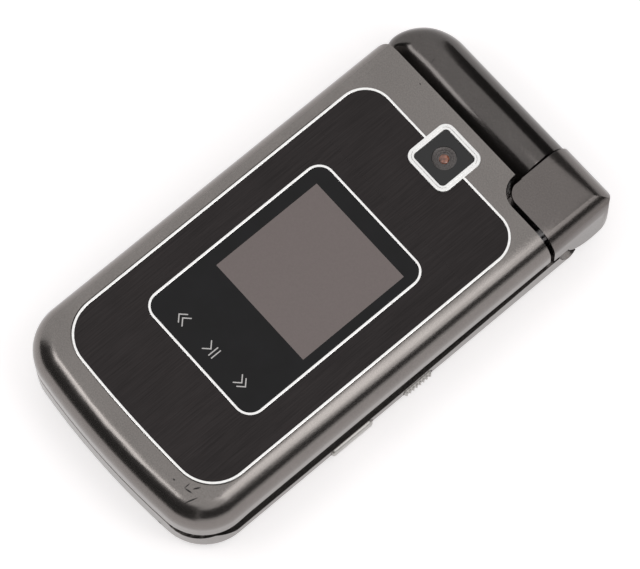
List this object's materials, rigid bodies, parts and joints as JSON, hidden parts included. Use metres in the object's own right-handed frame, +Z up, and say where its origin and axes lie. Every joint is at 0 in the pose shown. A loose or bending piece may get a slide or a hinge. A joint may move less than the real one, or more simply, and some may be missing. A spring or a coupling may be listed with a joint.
{
  "type": "flip phone",
  "caption": "Closed dual-hinge flip phone on its back: grey lid with brushed black plate, outer window and camera ring, hinge barrel and corner block, keypad inside.",
  "frame": {"origin": "middle of the bottom of the closed phone's box, on the surface that its back lies on", "axes": "+Z up out of the lid's face, +Y along the phone to the hinge end, +X to the side with two keys"},
  "size_m": [0.053, 0.102, 0.0169],
  "materials": {
    "satin_shell": "satin metallic grey paint on a moulded shell",
    "dark_back": "fine matt",
    "battery_wrap": "smooth wrap",
    "circuit_board": "solder mask",
    "key_rubber": "moulded silicone",
    "black_deck": "moulded black plastic",
    "gunmetal_barrel": "satin gunmetal paint",
    "hinge_steel": "turned steel",
    "port_metal": "stamped and plated",
    "black_parts": "moulded",
    "dark_screws": "black zinc",
    "side_key_paint": "silver paint",
    "brushed_black": "brushed and black anodised",
    "polished_trim": "polished",
    "window_glass": "dark tinted window",
    "display_glass": "display that is switched off",
    "satin_ring": "satin chrome",
    "bumper_rubber": "moulded",
    "key_caps": "clear cap over dark ink"
  },
  "bodies": {
    "base": {"base_shell": "satin_shell", "battery_cover": "dark_back", "battery": "battery_wrap", "main_board": "circuit_board", "key_sheet": "key_rubber", "keypad_frame": "black_deck", "hinge_barrel": "gunmetal_barrel", "portrait_cartridge": "hinge_steel", "charging_connector": "port_metal", "loudspeaker": "black_parts", "microphone": "port_metal", "base_screws": "dark_screws"},
    "hinge_block": {"corner_block": "satin_shell", "portrait_shaft": "hinge_steel", "landscape_shaft": "hinge_steel"},
    "lid": {"lid_shell": "satin_shell", "lid_inner_cover": "black_deck", "brushed_plate": "brushed_black", "plate_trim": "polished_trim", "outer_window": "window_glass", "window_trim": "polished_trim", "outer_display": "display_glass", "camera_bezel": "satin_ring", "camera_glass": "window_glass", "camera_module": "black_parts", "main_window": "window_glass", "main_display": "display_glass", "earpiece": "black_parts", "lid_bumpers": "bumper_rubber", "lid_board": "circuit_board", "landscape_cartridge": "hinge_steel"},
    "camera_key": {"camera_key": "side_key_paint"},
    "voice_key": {"voice_key": "side_key_paint"},
    "volume_key": {"volume_key": "side_key_paint"},
    "key_r1c1": {"key_r1c1": "key_caps"},
    "key_r1c2": {"key_r1c2": "key_caps"},
    "key_r1c3": {"key_r1c3": "key_caps"},
    "key_r2c1": {"key_r2c1": "key_caps"},
    "key_r2c2": {"key_r2c2": "key_caps"},
    "key_r2c3": {"key_r2c3": "key_caps"},
    "key_r3c1": {"key_r3c1": "key_caps"},
    "key_r3c2": {"key_r3c2": "key_caps"},
    "key_r3c3": {"key_r3c3": "key_caps"},
    "key_r4c1": {"key_r4c1": "key_caps"},
    "key_r4c2": {"key_r4c2": "key_caps"},
    "key_r4c3": {"key_r4c3": "key_caps"},
    "key_r5c1": {"key_r5c1": "key_caps"},
    "key_r5c2": {"key_r5c2": "key_caps"},
    "key_r5c3": {"key_r5c3": "key_caps"},
    "key_r6c1": {"key_r6c1": "key_caps"},
    "key_r6c2": {"key_r6c2": "key_caps"},
    "key_r6c3": {"key_r6c3": "key_caps"},
    "key_r7c1": {"key_r7c1": "key_caps"},
    "key_r7c2": {"key_r7c2": "key_caps"},
    "key_r7c3": {"key_r7c3": "key_caps"},
    "key_r8c1": {"key_r8c1": "key_caps"},
    "key_r8c2": {"key_r8c2": "key_caps"},
    "key_r8c3": {"key_r8c3": "key_caps"}
  },
  "joints": [
    {"name": "portrait_hinge", "type": "hinge", "parent": "base", "child": "hinge_block", "pos_m": [0, 0.04475, 0.0087], "axis": [-1, 0, 0], "range_deg": [0, 160]},
    {"name": "landscape_hinge", "type": "hinge", "parent": "hinge_block", "child": "lid", "pos_m": [0.0215, 0, 0.012], "axis": [0, 1, 0], "range_deg": [0, 155]},
    {"name": "camera_key_press", "type": "slide", "parent": "base", "child": "camera_key", "axis": [-1, 0, 0], "range_m": [0, 0.0003], "stiffness_N_per_m": 1500},
    {"name": "voice_key_press", "type": "slide", "parent": "base", "child": "voice_key", "axis": [-1, 0, 0], "range_m": [0, 0.0003], "stiffness_N_per_m": 1500},
    {"name": "volume_rock", "type": "hinge", "parent": "base", "child": "volume_key", "pos_m": [-0.0253, 0.018, 0.0035], "axis": [0, 0, 1], "range_deg": [-1.5, 1.5], "stiffness_Nm_per_rad": 0.2},
    {"name": "press_r1c1", "type": "slide", "parent": "base", "child": "key_r1c1", "axis": [0, 0, -1], "range_m": [0, 0.00035], "stiffness_N_per_m": 600},
    {"name": "press_r1c2", "type": "slide", "parent": "base", "child": "key_r1c2", "axis": [0, 0, -1], "range_m": [0, 0.00035], "stiffness_N_per_m": 600},
    {"name": "press_r1c3", "type": "slide", "parent": "base", "child": "key_r1c3", "axis": [0, 0, -1], "range_m": [0, 0.00035], "stiffness_N_per_m": 600},
    {"name": "press_r2c1", "type": "slide", "parent": "base", "child": "key_r2c1", "axis": [0, 0, -1], "range_m": [0, 0.00035], "stiffness_N_per_m": 600},
    {"name": "press_r2c2", "type": "slide", "parent": "base", "child": "key_r2c2", "axis": [0, 0, -1], "range_m": [0, 0.00035], "stiffness_N_per_m": 600},
    {"name": "press_r2c3", "type": "slide", "parent": "base", "child": "key_r2c3", "axis": [0, 0, -1], "range_m": [0, 0.00035], "stiffness_N_per_m": 600},
    {"name": "press_r3c1", "type": "slide", "parent": "base", "child": "key_r3c1", "axis": [0, 0, -1], "range_m": [0, 0.00035], "stiffness_N_per_m": 600},
    {"name": "press_r3c2", "type": "slide", "parent": "base", "child": "key_r3c2", "axis": [0, 0, -1], "range_m": [0, 0.00035], "stiffness_N_per_m": 600},
    {"name": "press_r3c3", "type": "slide", "parent": "base", "child": "key_r3c3", "axis": [0, 0, -1], "range_m": [0, 0.00035], "stiffness_N_per_m": 600},
    {"name": "press_r4c1", "type": "slide", "parent": "base", "child": "key_r4c1", "axis": [0, 0, -1], "range_m": [0, 0.00035], "stiffness_N_per_m": 600},
    {"name": "press_r4c2", "type": "slide", "parent": "base", "child": "key_r4c2", "axis": [0, 0, -1], "range_m": [0, 0.00035], "stiffness_N_per_m": 600},
    {"name": "press_r4c3", "type": "slide", "parent": "base", "child": "key_r4c3", "axis": [0, 0, -1], "range_m": [0, 0.00035], "stiffness_N_per_m": 600},
    {"name": "press_r5c1", "type": "slide", "parent": "base", "child": "key_r5c1", "axis": [0, 0, -1], "range_m": [0, 0.00035], "stiffness_N_per_m": 600},
    {"name": "press_r5c2", "type": "slide", "parent": "base", "child": "key_r5c2", "axis": [0, 0, -1], "range_m": [0, 0.00035], "stiffness_N_per_m": 600},
    {"name": "press_r5c3", "type": "slide", "parent": "base", "child": "key_r5c3", "axis": [0, 0, -1], "range_m": [0, 0.00035], "stiffness_N_per_m": 600},
    {"name": "press_r6c1", "type": "slide", "parent": "base", "child": "key_r6c1", "axis": [0, 0, -1], "range_m": [0, 0.00035], "stiffness_N_per_m": 600},
    {"name": "press_r6c2", "type": "slide", "parent": "base", "child": "key_r6c2", "axis": [0, 0, -1], "range_m": [0, 0.00035], "stiffness_N_per_m": 600},
    {"name": "press_r6c3", "type": "slide", "parent": "base", "child": "key_r6c3", "axis": [0, 0, -1], "range_m": [0, 0.00035], "stiffness_N_per_m": 600},
    {"name": "press_r7c1", "type": "slide", "parent": "base", "child": "key_r7c1", "axis": [0, 0, -1], "range_m": [0, 0.00035], "stiffness_N_per_m": 600},
    {"name": "press_r7c2", "type": "slide", "parent": "base", "child": "key_r7c2", "axis": [0, 0, -1], "range_m": [0, 0.00035], "stiffness_N_per_m": 600},
    {"name": "press_r7c3", "type": "slide", "parent": "base", "child": "key_r7c3", "axis": [0, 0, -1], "range_m": [0, 0.00035], "stiffness_N_per_m": 600},
    {"name": "press_r8c1", "type": "slide", "parent": "base", "child": "key_r8c1", "axis": [0, 0, -1], "range_m": [0, 0.00035], "stiffness_N_per_m": 600},
    {"name": "press_r8c2", "type": "slide", "parent": "base", "child": "key_r8c2", "axis": [0, 0, -1], "range_m": [0, 0.00035], "stiffness_N_per_m": 600},
    {"name": "press_r8c3", "type": "slide", "parent": "base", "child": "key_r8c3", "axis": [0, 0, -1], "range_m": [0, 0.00035], "stiffness_N_per_m": 600}
  ]
}
